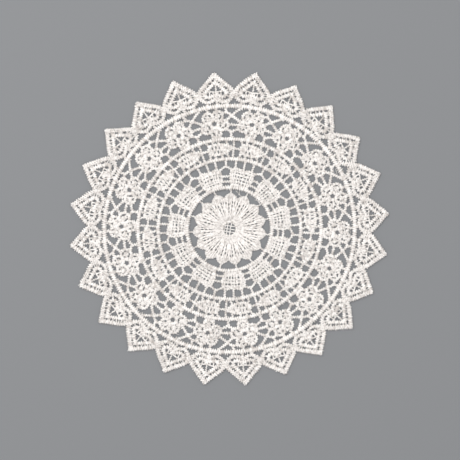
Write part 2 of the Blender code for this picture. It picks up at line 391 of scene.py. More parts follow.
def core_tree() -> Tree:
    """Builds the tree that makes a round or flattened padded cord along each drawn line.

    Returns:
        The tree.
    """
    lengths = {"Step": 1.0 * MM, "Half width": 0.7 * MM, "Rise": 0.5 * MM, "Ply length": 0.5 * MM}
    tree = Tree("padded_cord", {**lengths, "Share": 0.8, "Flatness": 1.0, "Sides": 8})
    given = tree.given
    line = tree.cord_line(given["Step"])
    upright = tree.add("GeometryNodeSetCurveNormal", {"Curve": line}, mode="Z_UP")[0]
    along = tree.add("GeometryNodeSplineParameter")["Length"]
    twisted = tree.carrying(upright, PLY, tree.math("DIVIDE", along, given["Ply length"]))
    height = tree.split(tree.place())["Z"]
    measured = tree.carrying(tree.with_painted_light(twisted, "POINT"), LEVEL, height)
    ring = tree.add("GeometryNodeCurvePrimitiveCircle", {"Resolution": given["Sides"], "Radius": 1.0})[0]
    squash = {"Geometry": ring, "Scale": tree.combined(1.0, given["Flatness"], 1.0)}
    sweep = {
        "Curve": measured,
        "Profile Curve": tree.add("GeometryNodeTransform", squash)[0],
        "Scale": tree.math("MULTIPLY", tree.named(HALF_WIDTH), given["Share"]),
        "Fill Caps": True,
    }
    tube = tree.add("GeometryNodeCurveToMesh", sweep)[0]
    above = tree.math("SUBTRACT", height, tree.named(LEVEL))
    thinner = tree.math("SUBTRACT", tree.math("DIVIDE", given["Half width"], tree.named(HALF_WIDTH)), 1.0)
    change = tree.math("MULTIPLY_ADD", above, thinner, given["Rise"])
    raised = tree.moved(tube, "Offset", tree.combined(0.0, 0.0, change))
    tree.finish(tree.add("GeometryNodeSetShadeSmooth", {"Geometry": raised})[0])
    return tree


def stitch_tree() -> Tree:
    """Builds the tree that works a zigzag of arched stitches over each drawn line.

    Returns:
        The tree.
    """
    lengths = {"Pitch": 0.65 * MM, "Thread": 0.5 * MM, "Height": 1.0 * MM}
    tree = Tree("zigzag_stitches", {**lengths, "Jitter": 0.12, "Seed": 0, "Stitch": "NodeSocketObject"})
    given = tree.given
    line = tree.cord_line(given["Pitch"])
    tangent = tree.split(tree.add("GeometryNodeInputTangent")[0])
    heading = tree.math("ARCTAN2", tangent["Y"], tangent["X"])
    number = tree.add("GeometryNodeSplineParameter")["Index"]
    side = tree.math("MULTIPLY_ADD", tree.math("MODULO", number, 2.0), 2.0, -1.0)
    half = tree.named(HALF_WIDTH)
    lean = tree.math("ARCTAN2", given["Pitch"], tree.math("MULTIPLY", half, 2.0))
    limits = [tree.math(operation, 1.0, given["Jitter"]) for operation in ("SUBTRACT", "ADD")]

    def chance(extra: int) -> Socket:
        """A random factor about 1 for each stitch."""
        return tree.scatter(*limits, tree.math("ADD", given["Seed"], float(extra)))

    turn = tree.math("MULTIPLY_ADD", side, tree.math("MULTIPLY", lean, chance(1)), heading)
    loose = tree.math("MULTIPLY", chance(2), chance(5))
    reach = tree.math("DIVIDE", tree.math("MULTIPLY", half, loose), tree.math("COSINE", lean))
    thick = tree.math("MULTIPLY", given["Thread"], chance(3))
    high = tree.math("MULTIPLY", given["Height"], chance(4))
    worked = {
        "Points": line,
        "Instance": tree.add("GeometryNodeObjectInfo", {"Object": given["Stitch"]})["Geometry"],
        "Rotation": tree.combined(0.0, 0.0, turn),
        "Scale": tree.combined(thick, reach, high),
    }
    tree.finish(tree.with_painted_light(tree.add("GeometryNodeInstanceOnPoints", worked)[0], "INSTANCE"))
    return tree


def linked(name: str, data: bpy.types.ID) -> Object:
    """Makes an object.

    Args:
        name: Its name.
        data: Its mesh, camera or light.

    Returns:
        The object, linked to the scene.
    """
    thing = bpy.data.objects.new(name, data)
    bpy.context.scene.collection.objects.link(thing)
    return thing


def carry(mesh: Mesh, name: str, values: Floats) -> None:
    """Gives each of a mesh's points a number to carry."""
    mesh.attributes.new(name, "FLOAT", "POINT").data.foreach_set("value", values)


def face_outwards(mesh: Mesh) -> None:
    """Turns a closed mesh's faces outwards.

    Args:
        mesh: The mesh.
    """
    shell = bmesh.new()
    shell.from_mesh(mesh)
    bmesh.ops.recalc_face_normals(shell, faces=shell.faces[:])
    shell.to_mesh(mesh)
    shell.free()


# A stitch's sections, each its place across, the height of the thread's middle, and its half thickness; the
# points round a section, along the cord and up; and the ply's turns from the cord's middle to its side
STITCH_SECTIONS = {
    Stitch.BROAD: (
        (-1.0, 0.5, 0.16), (-0.84, 0.8, 0.15), (0.0, 0.86, 0.14), (0.84, 0.8, 0.15), (1.0, 0.5, 0.16),
    ),
    Stitch.NARROW: ((-1.0, 0.5, 0.17), (-0.68, 0.83, 0.16), (0.68, 0.83, 0.16), (1.0, 0.5, 0.17)),
}
STITCH_ROUND = ((-0.5, 0.0), (0.0, 1.0), (0.5, 0.0), (0.0, -1.0))
STITCH_PLY_TURNS = 2.5


def stitch_model(stitch: Stitch) -> Object:
    """Makes one arched stitch, 1 thread thick, from -1 to 1 across the cord and up to 1 high.

    Args:
        stitch: How it is worked.

    Returns:
        An object that isn't in the scene.
    """
    corners, faces, plies = [], [], []
    for across, middle, half in STITCH_SECTIONS[stitch]:
        for along, up in STITCH_ROUND:
            corners.append((along, across, middle + up * half))
            plies.append(across * STITCH_PLY_TURNS + along)
    sides = len(STITCH_ROUND)
    last = len(corners) - sides
    for start in range(0, last, sides):
        for number in range(sides):
            here, after = start + number, start + (number + 1) % sides
            faces.append((here, after, after + sides, here + sides))
    faces += [tuple(range(sides))[::-1], tuple(range(last, last + sides))]
    name = f"{stitch.name.lower()}_stitch"
    mesh = bpy.data.meshes.new(name)
    mesh.from_pydata(corners, [], faces)
    carry(mesh, PLY, plies)
    face_outwards(mesh)
    mesh.shade_smooth()
    return bpy.data.objects.new(name, mesh)


def outward(axis: float) -> Vector:
    """Unit vector from the centre along a motif's axis."""
    return Vector((math.cos(math.radians(axis)), math.sin(math.radians(axis))))


def laid(point: Point, axis: float = FRAME_AXIS) -> Vector:
    """Finds where a motif's point lies in the laid doily.

    Args:
        point: Across the motif's axis and out along it, in millimetres.
        axis: The angle of the motif's axis.

    Returns:
        The place in the frame, in metres.
    """
    out = outward(axis)
    spot = out * point[1] + Vector((out.y, -out.x)) * point[0]
    turn = math.degrees(math.atan2(spot.y, spot.x))
    radius = spot.length
    slide = SLIDE * math.cos(math.radians(turn - SLIDE_HEADING)) / max(radius, SLIDE_STARTS)
    slipped = turn + SLIP * math.cos(math.radians(2.0 * turn)) + math.degrees(slide)
    drawn = min(max((radius - RIM_DRAW_STARTS) / (RIM_DRAW_FULL - RIM_DRAW_STARTS), 0.0), 1.0)
    drawn *= RIM_DRAW * math.cos(math.radians(turn - RIM_DRAW_HEADING))
    pulled = outward(slipped - PULL_AXIS) * (radius + drawn)
    pulled = Vector((pulled.x * (1.0 + PULL), pulled.y * (1.0 - PULL)))
    place = Matrix.Rotation(math.radians(PULL_AXIS), 2) @ pulled
    return (place + RINGS_CENTRE) * MM


def polar(turn: float, radius: float) -> Point:
    """A point at an angle clockwise from a motif's axis, and at a distance from the doily's centre."""
    return radius * math.sin(math.radians(turn)), radius * math.cos(math.radians(turn))


def circle(centre: Point, radius: float, count: int, start: float = 0.0) -> list[Point]:
    """Evenly spaced points round a circle, clockwise from outward."""
    turns = [math.radians(start + 360.0 * index / count) for index in range(count)]
    return [(centre[0] + radius * math.sin(turn), centre[1] + radius * math.cos(turn)) for turn in turns]


@dataclass
class Cords:
    """Drawn lines of one gauge, in the frame's metres, ready to be made into cords."""

    gauge: Gauge
    points: list[Triple] = field(default_factory=list)
    edges: list[tuple[int, int]] = field(default_factory=list)
    half_widths: list[float] = field(default_factory=list)

    def draw(self, places: Sequence[Vector], heights: Floats, widths: Floats, closed: bool) -> None:
        """Adds one line.

        Args:
            places: Its points, in metres.
            heights: Each point's height over the gauge's own, in millimetres.
            widths: The cord's width at each point, in millimetres.
            closed: Whether the line runs back to its start.
        """
        start = len(self.points)
        self.points += [(place.x, place.y, height * MM) for place, height in zip(places, heights)]
        self.edges += [(start + index, start + index + 1) for index in range(len(places) - 1)]
        if closed:
            self.edges.append((start + len(places) - 1, start))
        self.half_widths += [width / 2.0 * MM for width in widths]

    def drawing(self) -> Object:
        """Makes the lines into an object of loose edges.

        Returns:
            The object, linked to the scene.
        """
        mesh = bpy.data.meshes.new(self.gauge.name)
        mesh.from_pydata(self.points, self.edges, [])
        carry(mesh, HALF_WIDTH, self.half_widths)
        return linked(self.gauge.name, mesh)


# How cores and bare threads are made: the step and ply in millimetres, the sides, and the flatness and rise
# as shares of the gauge's
TUBES = {
    Stitch.NARROW: (1.1, 0.5, 6, 0.86, 0.9),
    Stitch.BROAD: (1.1, 0.5, 8, 0.86, 0.9),
    Stitch.PLAIN: (0.8, 0.45, 4, 1.0, 1.0),
}


class Workshop:
    """The trees, stitch models and materials that every part of the lace is made with."""

    wander = 0.5

    def __init__(self) -> None:
        """Builds what is shared."""
        ply = PlyTwist().group()
        self.stitch, self.painted_shade_padding, self.filling = (thread.material(ply) for thread in THREADS)
        self.core, self.stitches = core_tree(), stitch_tree()
        self.models = {stitch: stitch_model(stitch) for stitch in STITCH_SECTIONS}

    def made(self, cords: Cords, tree: Tree, values: dict[str, object]) -> Mesh:
        """Runs a tree over drawn lines.

        Args:
            cords: The lines.
            tree: The tree.
            values: The tree's inputs, by name, but for Wander.

        Returns:
            A plain mesh.
        """
        drawn = cords.drawing()
        modifier = drawn.modifiers.new(tree.group.name, "NODES")
        modifier.node_group = tree.group
        for title, value in {"Wander": self.wander * MM, **values}.items():
            modifier[tree.identifiers[title]] = value
        graph = bpy.context.evaluated_depsgraph_get()
        mesh = bpy.data.meshes.new_from_object(
            drawn.evaluated_get(graph), preserve_all_data_layers=True, depsgraph=graph
        )
        outline = drawn.data
        bpy.data.objects.remove(drawn, do_unlink=True)
        bpy.data.meshes.remove(outline)
        return mesh

    def tubes(self, cords: Cords) -> Mesh:
        """Makes the padded cords under the stitches, or bare threads.

        Args:
            cords: Their lines.

        Returns:
            A plain mesh.
        """
        gauge = cords.gauge
        step, ply, sides, flatness, rise = TUBES[gauge.stitch]
        values = {
            "Step": step * MM,
            "Share": gauge.core,
            "Half width": gauge.width / 2.0 * MM,
            "Flatness": gauge.height / (gauge.width * gauge.core) * flatness,
            "Rise": gauge.height / 2.0 * rise * MM,
            "Sides": sides,
            "Ply length": ply * MM,
            # The padding is painted darker, as the shade in the gaps between the stitches
            "Material": self.filling if gauge.stitch is Stitch.PLAIN else self.painted_shade_padding,
        }
        return self.made(cords, self.core, values)

    def worked(self, cords: Cords, seed: int) -> Mesh:
        """Makes the zigzag stitches over the padded cords.

        Args:
            cords: The cords' lines.
            seed: The seed of the stitches' small differences.

        Returns:
            A plain mesh.
        """
        gauge = cords.gauge
        values = {
            "Stitch": self.models[gauge.stitch],
            "Pitch": gauge.pitch * MM,
            "Thread": gauge.thread * MM,
            "Height": gauge.height * MM,
            "Jitter": gauge.jitter,
            "Seed": seed,
            "Material": self.stitch,
        }
        return self.made(cords, self.stitches, values)


def joined(name: str, meshes: Iterable[Mesh]) -> Object:
    """Joins meshes into one object at the origin.

    Args:
        name: The object's name.
        meshes: The meshes.

    Returns:
        The object, linked to the scene.
    """
    parts = [linked(name, mesh) for mesh in meshes]
    with bpy.context.temp_override(active_object=parts[0], selected_editable_objects=parts):
        bpy.ops.object.join()
    parts[0].name = name
    parts[0].data.name = name
    return parts[0]


class Lacework:
    """One sub-assembly of the lace: it draws its cords, and has them padded and stitched."""

    name = "lacework"
    seed = 1
    flare = 1.5
    flare_reach = 2.0
    flare_limit = 0.45

    def __post_init__(self) -> None:
        """Starts with nothing drawn."""
        self.cords: dict[Gauge, Cords] = {}
        self.chance = random.Random(self.seed)

    def sway(self, most: float) -> float:
        """A random number up to so much either side of 0."""
        return self.chance.uniform(-most, most)

    def cord(
        self,
        gauge: Gauge,
        line: Line,
        axis: float,
        closed: bool = False,
        width: float | Floats | None = None,
        lift: float | Floats = 0.0,
    ) -> None:
        """Draws one cord.

        Args:
            gauge: Its gauge.
            line: Its points in the motif's own measures.
            axis: The motif's angle.
            closed: Whether it runs back to its start.
            width: Its width, for the cord or for each point, where it isn't the gauge's.
            lift: Height over the surface, for the cord or for each point.
        """
        heights = lift if isinstance(lift, Sequence) else [lift] * len(line)
        widths = width if isinstance(width, Sequence) else [width or gauge.width] * len(line)
        places = [laid(point, axis) for point in line]
        self.cords.setdefault(gauge, Cords(gauge)).draw(places, heights, widths, closed)

    def bar(self, line: Line, axis: float, width: float = BAR.width) -> None:
        """Draws a bar that spreads where it runs into other stitching.

        Args:
            line: Its points.
            axis: The motif's angle.
            width: Its width away from its ends.
        """
        flares = []
        for end, after in ((line[0], line[1]), (line[-1], line[-2])):
            share = min(self.flare_reach / math.dist(end, after), self.flare_limit)
            flares.append(tuple(near + (far - near) * share for near, far in zip(end, after)))
        line = [line[0], flares[0], *line[1:-1], flares[1], line[-1]]
        widths = [width * self.flare, *[width] * (len(line) - 2), width * self.flare]
        self.cord(BAR, line, axis, width=widths)

    def draw(self) -> None:
        """Draws all the cords."""
        raise NotImplementedError

    def slabs(self, workshop: Workshop) -> list[Mesh]:
        """Solidly stitched areas, where the sub-assembly has them."""
        return []

    def painted_shade_padding(self, workshop: Workshop) -> list[Mesh]:
        """Everything under the stitches."""
        padded = [cords for cords in self.cords.values() if cords.gauge.stitch is not Stitch.PLAIN]
        return [workshop.tubes(cords) for cords in padded] + self.slabs(workshop)

    def stitched(self, workshop: Workshop) -> Object:
        """Makes the sub-assembly's stitches and threads into one piece.

        Args:
            workshop: The shared trees, models and materials.

        Returns:
            The piece.
        """
        meshes = []
        for number, cords in enumerate(self.cords.values()):
            if cords.gauge.stitch is Stitch.PLAIN:
                meshes.append(workshop.tubes(cords))
            else:
                meshes.append(workshop.worked(cords, self.seed * 100 + number * 10))
        return joined(self.name, meshes)


@dataclass(frozen=True)
class Band:
    """Motifs evenly spaced round the doily."""

    count: int
    phase: float

    @property
    def step(self) -> float:
        """The angle from one motif to the next."""
        return 360.0 / self.count

    def axes(self, offset: float = 0.0) -> list[float]:
        """Angles of the motifs, or of the places a fixed angle on from them."""
        return [self.phase + offset + self.step * index for index in range(self.count)]


MERGE_DISTANCE = 1e-7


def slab_mesh(name: str, outline: list[Vector], gaps: list[list[Vector]], low: float, high: float) -> Mesh:
    """Makes a flat closed slab with gaps through it.

    Args:
        name: The mesh's name.
        outline: Its outer edge.
        gaps: The edges of its gaps.
        low: The height of its underside.
        high: The height of its top.

    Returns:
        The mesh, in metres.
    """
    loops, places = [], []
    for loop in [outline] + gaps:
        swept = sum(here.cross(after) for here, after in zip(loop, loop[1:] + loop[:1]))
        loops.append(list(range(len(places), len(places) + len(loop))))
        places += loop if swept > 0 else loop[::-1]
    flat = [place / MM for place in places]
    _, _, triangles, sources, _, covers = delaunay_2d_cdt(flat, [], loops, 0, MERGE_DISTANCE)
    count = len(places)
    faces = []
    for triangle, cover in zip(triangles, covers):
        if cover == [0]:
            top = [sources[corner][0] for corner in triangle]
            faces += [top, [count + corner for corner in reversed(top)]]
    for loop in loops:
        for here, after in zip(loop, loop[1:] + loop[:1]):
            faces.append([here, count + here, count + after, after])
    mesh = bpy.data.meshes.new(name)
    mesh.from_pydata([(*place, high) for place in places] + [(*place, low) for place in places], [], faces)
    # The slab has no ply grooves and a middling painted light and shade
    for title, value in ((PLY, 0.0), (PAINTED_LIGHT, 0.5)):
        carry(mesh, title, [value] * 2 * count)
    face_outwards(mesh)
    return mesh


@dataclass
class Rings(Lacework):
    """Four broad rings of zigzag stitching, each with its radius and width."""

    name = "ring_stitches"
    seed = 11
    sizes: Pairs = ((26.5, 2.65), (44.55, 2.5), (57.2, 2.65), (78.2, 3.2))
    points: int = 72

    def draw(self) -> None:
        """Draws the rings."""
        for radius, width in self.sizes:
            self.cord(RING, circle(CENTRE, radius, self.points), FRAME_AXIS, closed=True, width=width)


@dataclass
class StarMedallion(Lacework):
    """The middle: a star of leaf points round a hub with an open mesh.

    The leaf has its edge's radius at each angle. The mesh's threads, which run up and then across it, have
    their places, bends and height. A rank of rays has its count, first angle, ends and height. A row of small
    gaps has its angle and their radii, and its first gap has its own half widths and half lengths.
    """

    name = "star_threads"
    seed = 12
    band: Band = Band(15, 16.0)
    leaf: Pairs = ((0.0, 23.4), (2.8, 22.6), (4.7, 22.2), (7.0, 21.7), (9.5, 20.7), (12.0, 19.8))
    edge_inset: float = 0.45
    edge_width: float = 0.95
    link: Line = ((0.0, 21.5), (0.0, 23.5))
    link_sway: float = 0.3
    link_width: float = 1.15
    ring_edge: float = 25.8
    hub: float = 4.6
    hub_points: int = 24
    mesh_edge: float = 3.8
    mesh_points: int = 30
    mesh_axis: float = 81.0
    mesh_width: float = 0.66
    mesh_threads: tuple[tuple[Floats, Floats, float], ...] = (
        ((-3.0, -1.4, 0.6), (-0.1, 0.0, 0.1), 0.4),
        ((-1.8, 0.0, 2.0), (0.15, -0.1, 0.1), 0.25),
    )
    ranks: tuple[tuple[int, float, float, float, float], ...] = (
        (66, 0.0, 4.9, 9.4, 0.55),
        (92, 1.0, 7.2, 10.1, 0.6),
    )
    spread: Floats = (-11.5, -10.5, -7.0, -6.2, -1.6, 0.0, 1.5, 6.5, 7.6, 11.3)
    spread_start: float = 9.2
    spread_slack: float = 0.8
    spread_lift: float = 0.65
    broken_spread: Floats = (-9.2, 9.4)
    broken_radii: Triple = (9.0, 15.2, 17.8)
    broken_lift: float = 0.62
    tip_inset: float = 0.5
    tip_lift: float = 0.6
    rows: tuple[tuple[float, Floats], ...] = ((4.3, (8.7, 10.8, 13.2, 15.6)), (-3.6, (9.8, 12.0, 14.6, 17.0)))
    lone_gaps: tuple[tuple[float, Floats], ...] = ((9.6, (16.5,)), (-8.6, (17.1,)))
    gap_sizes: Sequence[tuple[Span, Span]] = (((0.4, 0.52), (0.6, 0.85)), ((0.46, 0.64), (0.7, 0.95)))
    gap_shoulder: float = 0.4
    rung: Pairs = ((-2.4, 0.0), (0.0, 0.1), (2.4, 0.0))
    rung_rise: float = 1.2
    rung_lift: float = 0.2
    fork_turns: Floats = (-1.3, 1.3)
    fork_rise: float = 1.3
    ray_sway: float = 0.5
    ray_lifts: Span = (-0.1, 0.12)
    ray_steps: Floats = (0.0, 0.2, 0.6, 0.85, 1.0)
    ray_heights: Floats = (-0.3, 0.0, 0.1, 0.0, -0.4)
    slab_inset: float = 0.4
    slab_heights: Span = (0.15, 0.55)

    def leaf_edge(self, turn: float) -> float:
        """Finds the star's edge.

        Args:
            turn: An angle from a leaf's axis.

        Returns:
            The edge's distance from the centre.
        """
        turn = abs(turn)
        for (near, high), (far, low) in zip(self.leaf, self.leaf[1:]):
            if turn <= far:
                return high + (low - high) * (turn - near) / (far - near)
        return self.leaf[-1][1]

    def outline(self, inset: float) -> Pairs:
        """Lists the star's edge, counterclockwise.

        Args:
            inset: How far inside its edge it runs.

        Returns:
            Angles and distances from the centre.
        """
        turns = [turn for turn, _ in self.leaf]
        turns = [-turn for turn in turns[:0:-1]] + turns[:-1]
        return [(axis + turn, self.leaf_edge(turn) - inset) for axis in self.band.axes() for turn in turns]

    def draw(self) -> None:
        """Draws the outline, links, hub, centre mesh and the radial threads."""
        for axis in self.band.axes():
            link = [*self.link, (self.sway(self.link_sway), self.ring_edge)]
            self.cord(FINE_BAR, link, axis, width=self.link_width)
        edge = [polar(FRAME_AXIS - turn, radius) for turn, radius in self.outline(self.edge_inset)]
        self.cord(FINE_BAR, edge[::-1], FRAME_AXIS, closed=True, width=self.edge_width)
        self.cord(EDGING, circle(CENTRE, self.hub, self.hub_points), FRAME_AXIS, closed=True)
        self.draw_mesh()
        for count, first, start, end, lift in self.ranks:
            for index in range(count):
                self.ray(index * 360.0 / count + first, start, end, lift)
        for axis in self.band.axes():
            self.draw_leaf(axis)

    def draw_mesh(self) -> None:
        """Draws the open mesh in the hub, a little askew."""
        for across, (places, bends, lift) in enumerate(self.mesh_threads):
            for place in places:
                half = math.sqrt(self.mesh_edge**2 - place**2)
                line = [(place + bend, along) for bend, along in zip(bends, (-half, 0.0, half))]
                line = [point[::-1] for point in line] if across else line
                self.cord(THREAD, line, self.mesh_axis, width=self.mesh_width, lift=lift)

    def draw_leaf(self, axis: float) -> None:
        """Draws a leaf's radial threads, and the rungs between its small gaps.

        Args:
            axis: The leaf's angle.
        """
        for turn in self.spread:
            start = self.spread_start + self.sway(self.spread_slack)
            self.tip_ray(axis, turn, start, self.spread_lift)
        start, stop, restart = self.broken_radii
        for turn in self.broken_spread:
            self.ray(axis + turn, start, stop, self.broken_lift)
            self.tip_ray(axis, turn, restart, self.tip_lift)
        for turn, radii in self.rows:
            for radius in radii[1:]:
                rung = [polar(-turn + aside, radius + self.rung_rise + rise) for aside, rise in self.rung]
                self.cord(THREAD, rung, axis, lift=self.rung_lift)
            for nudge in self.fork_turns:
                self.tip_ray(axis, turn + nudge, radii[-1] + self.fork_rise, self.tip_lift)

    def tip_ray(self, axis: float, turn: float, start: float, lift: float) -> None:
        """Draws one thread out to the leaf's edge, at an angle from the leaf's axis."""
        self.ray(axis + turn, start, self.leaf_edge(turn) - self.tip_inset, lift)

    def ray(self, angle: float, start: float, end: float, lift: float) -> None:
        """Draws one thread outwards, sunk at both ends.

        Args:
            angle: Its angle.
            start: Where it starts.
            end: Where it ends.
            lift: Its height.
        """
        sway = self.sway(self.ray_sway)
        high = lift + self.chance.uniform(*self.ray_lifts)
        line = [polar(sway * step, start + (end - start) * step) for step in self.ray_steps]
        self.cord(THREAD, line, angle, lift=[high + rise for rise in self.ray_heights])

    def slabs(self, workshop: Workshop) -> list[Mesh]:
        """Makes the closely stitched ground under the threads, with its rows of small gaps.

        Args:
            workshop: The shared trees, models and materials.

        Returns:
            The ground.
        """
        outline = [laid((0.0, radius), angle) for angle, radius in self.outline(self.slab_inset)]
        gaps = [[laid(point) for point in circle(CENTRE, self.mesh_edge, self.mesh_points)]]
        for axis in self.band.axes():
            for turn, radii in self.rows + self.lone_gaps:
                for number, radius in enumerate(radii):
                    wide, tall = (self.chance.uniform(*size) for size in self.gap_sizes[min(number, 1)])
                    low = tall * self.gap_shoulder
                    sides = [(-wide, -low), (-wide, low), (0.0, tall), (wide, low), (wide, -low)]
                    sides.append((0.0, -tall))
                    gaps.append([laid((across, radius + out), axis + turn) for across, out in sides])
        base, top = self.slab_heights
        mesh = slab_mesh("star_slab", outline, gaps, base * MM, top * MM)
        # Painted shade: the ground takes the darker padding colour, as the shade between the threads
        mesh.materials.append(workshop.painted_shade_padding)
        return [mesh]


@dataclass
class BlockBand(Lacework):
    """Woven blocks between the first two rings, with bars to the second ring.

    A leg of a forked bar has its points' angles and radii. A warp or weft thread rises at every second
    crossing and sinks at the others.
    """

    name = "block_weave"
    seed = 13
    band: Band = Band(11, 11.65)
    edging: Line = (
        (-4.8, 27.4), (-5.9, 29.3), (-6.8, 31.8), (-7.2, 34.7), (-6.9, 36.8), (-5.8, 38.0), (-3.7, 38.3),
        (-1.3, 37.7), (0.0, 37.1), (1.3, 37.5), (3.7, 38.0), (5.2, 37.7), (6.2, 36.7), (6.5, 35.2),
        (6.4, 33.3), (5.9, 31.1), (5.1, 29.1), (4.2, 27.4),
    )
    foot: Line = ((-5.2, 27.4), (-2.6, 27.8), (0.0, 27.9), (2.4, 27.8), (4.7, 27.4))
    crown: Line = (
        (-4.9, 36.4), (-3.4, 36.9), (-1.5, 36.6), (0.0, 36.1), (1.5, 36.4), (3.4, 36.8), (4.6, 36.3),
    )
    edging_widths: Triple = (1.85, 1.2, 1.25)
    warp_turns: Floats = (-9.8, -8.1, -4.9, -1.6, 1.7, 5.0, 8.3)
    warp_strands: Floats = (-0.14, 0.14)
    warp_ends: Span = (27.2, 37.4)
    warp_widths: Span = (0.52, 0.72)
    weft_radii: Floats = (28.2, 30.05, 32.15, 34.2, 36.2)
    weft_strands: Floats = (-0.33, 0.33)
    weft_turn: float = 9.6
    weft_widths: Span = (0.58, 0.82)
    weave_height: float = 0.6
    warp_rises: tuple[float, float] = (-0.18, 0.22)
    weft_rises: tuple[float, float] = (0.22, -0.18)
    slack: float = 0.34
    tilt: float = 0.11
    tilt_centre: float = 33.0
    strays: int = 5
    stray_places: tuple[Span, Span] = ((-4.8, 4.4), (29.2, 36.0))
    stray_reaches: Span = (1.6, 3.0)
    stray_width: float = 0.42
    stray_heights: Triple = (0.3, 0.45, 0.3)
    bar_turns: Floats = (-7.7, 0.0, 7.7)
    bar_starts: Floats = (37.8, 36.8, 37.8)
    bar_narrowing: float = 0.99
    ring_edge: float = 44.0
    fork: Line = ((0.0, 43.85), (0.19, 41.58), (0.0, 39.56))
    leg: Pairs = ((0.0, 39.8), (2.6, 38.9), (5.6, 37.7))
    link_radii: Floats = (33.7, 30.4)
    link_turn: float = 5.6
    bow: float = 0.3

    def draw(self) -> None:
        """Draws each block, its bars, and the forked bar and links beside it."""
        for axis in self.band.axes():
            for line, width in zip((self.edging, self.foot, self.crown), self.edging_widths):
                self.cord(EDGING, line, axis, width=width)
            self.weave(axis)
            for turn, start in zip(self.bar_turns, self.bar_starts):
                middle = polar(turn + self.sway(self.bow), (start + self.ring_edge) / 2.0)
                end = polar(turn * self.bar_narrowing, self.ring_edge)
                self.bar([polar(turn, start), middle, end], axis)
        for axis in self.band.axes(self.band.step / 2.0):
            self.bar(self.fork, axis)
            for side in (-1.0, 1.0):
                self.bar([polar(side * turn, radius) for turn, radius in self.leg], axis)
            for radius in self.link_radii:
                middle = polar(0.0, radius + self.sway(self.bow))
                self.bar([polar(-self.link_turn, radius), middle, polar(self.link_turn, radius)], axis)

    def weave(self, axis: float) -> None:
        """Draws the block's crossing threads, which pass over and under each other a little unevenly.

        Args:
            axis: The block's angle.
        """
        inner, outer = self.warp_ends
        rows, columns = len(self.weft_radii), len(self.warp_turns)
        tilt = self.sway(self.tilt)
        for column, turn in enumerate(self.warp_turns):
            shift = self.sway(self.slack)
            for strand in self.warp_strands:
                line = []
                for step in range(2 * rows + 1):
                    across, out = polar(turn, inner + (outer - inner) * step / (2 * rows))
                    drift = self.sway(self.slack) / 2.0
                    line.append((across + shift + strand + drift - tilt * (out - self.tilt_centre), out))
                self.strand(axis, line, column, self.warp_rises, self.warp_widths)
        for row, radius in enumerate(self.weft_radii):
            shift = self.sway(self.slack)
            for strand in self.weft_strands:
                line = []
                for step in range(2 * columns + 1):
                    turn = self.weft_turn * (step / columns - 1.0)
                    across, out = polar(turn, radius + shift + strand)
                    line.append((across, out + tilt * across + self.sway(self.slack) / 3.0))
                self.strand(axis, line, row, self.weft_rises, self.weft_widths)
        for _ in range(self.strays):
            across, out = (self.chance.uniform(*span) for span in self.stray_places)
            bearing, reach = self.chance.uniform(0.0, math.pi), self.chance.uniform(*self.stray_reaches)
            step = Vector((math.cos(bearing), math.sin(bearing))) * reach
            line = [(across - step.x, out - step.y), (across, out), (across + step.x, out + step.y)]
            self.cord(WOVEN, line, axis, width=self.stray_width, lift=self.stray_heights)

    def strand(self, axis: float, line: Line, number: int, rises: Floats, widths: Span) -> None:
        """Draws one woven thread.

        Args:
            axis: The block's angle.
            line: Its points, with every second one at a crossing.
            number: Which warp or weft it belongs to.
            rises: How far it rises at the crossings in turn.
            widths: Its least and greatest width.
        """
        steps = range(len(line))
        heights = [self.weave_height + rises[(step // 2 + number) % 2] * (step % 2) for step in steps]
        self.cord(WOVEN, line, axis, width=self.chance.uniform(*widths), lift=heights)


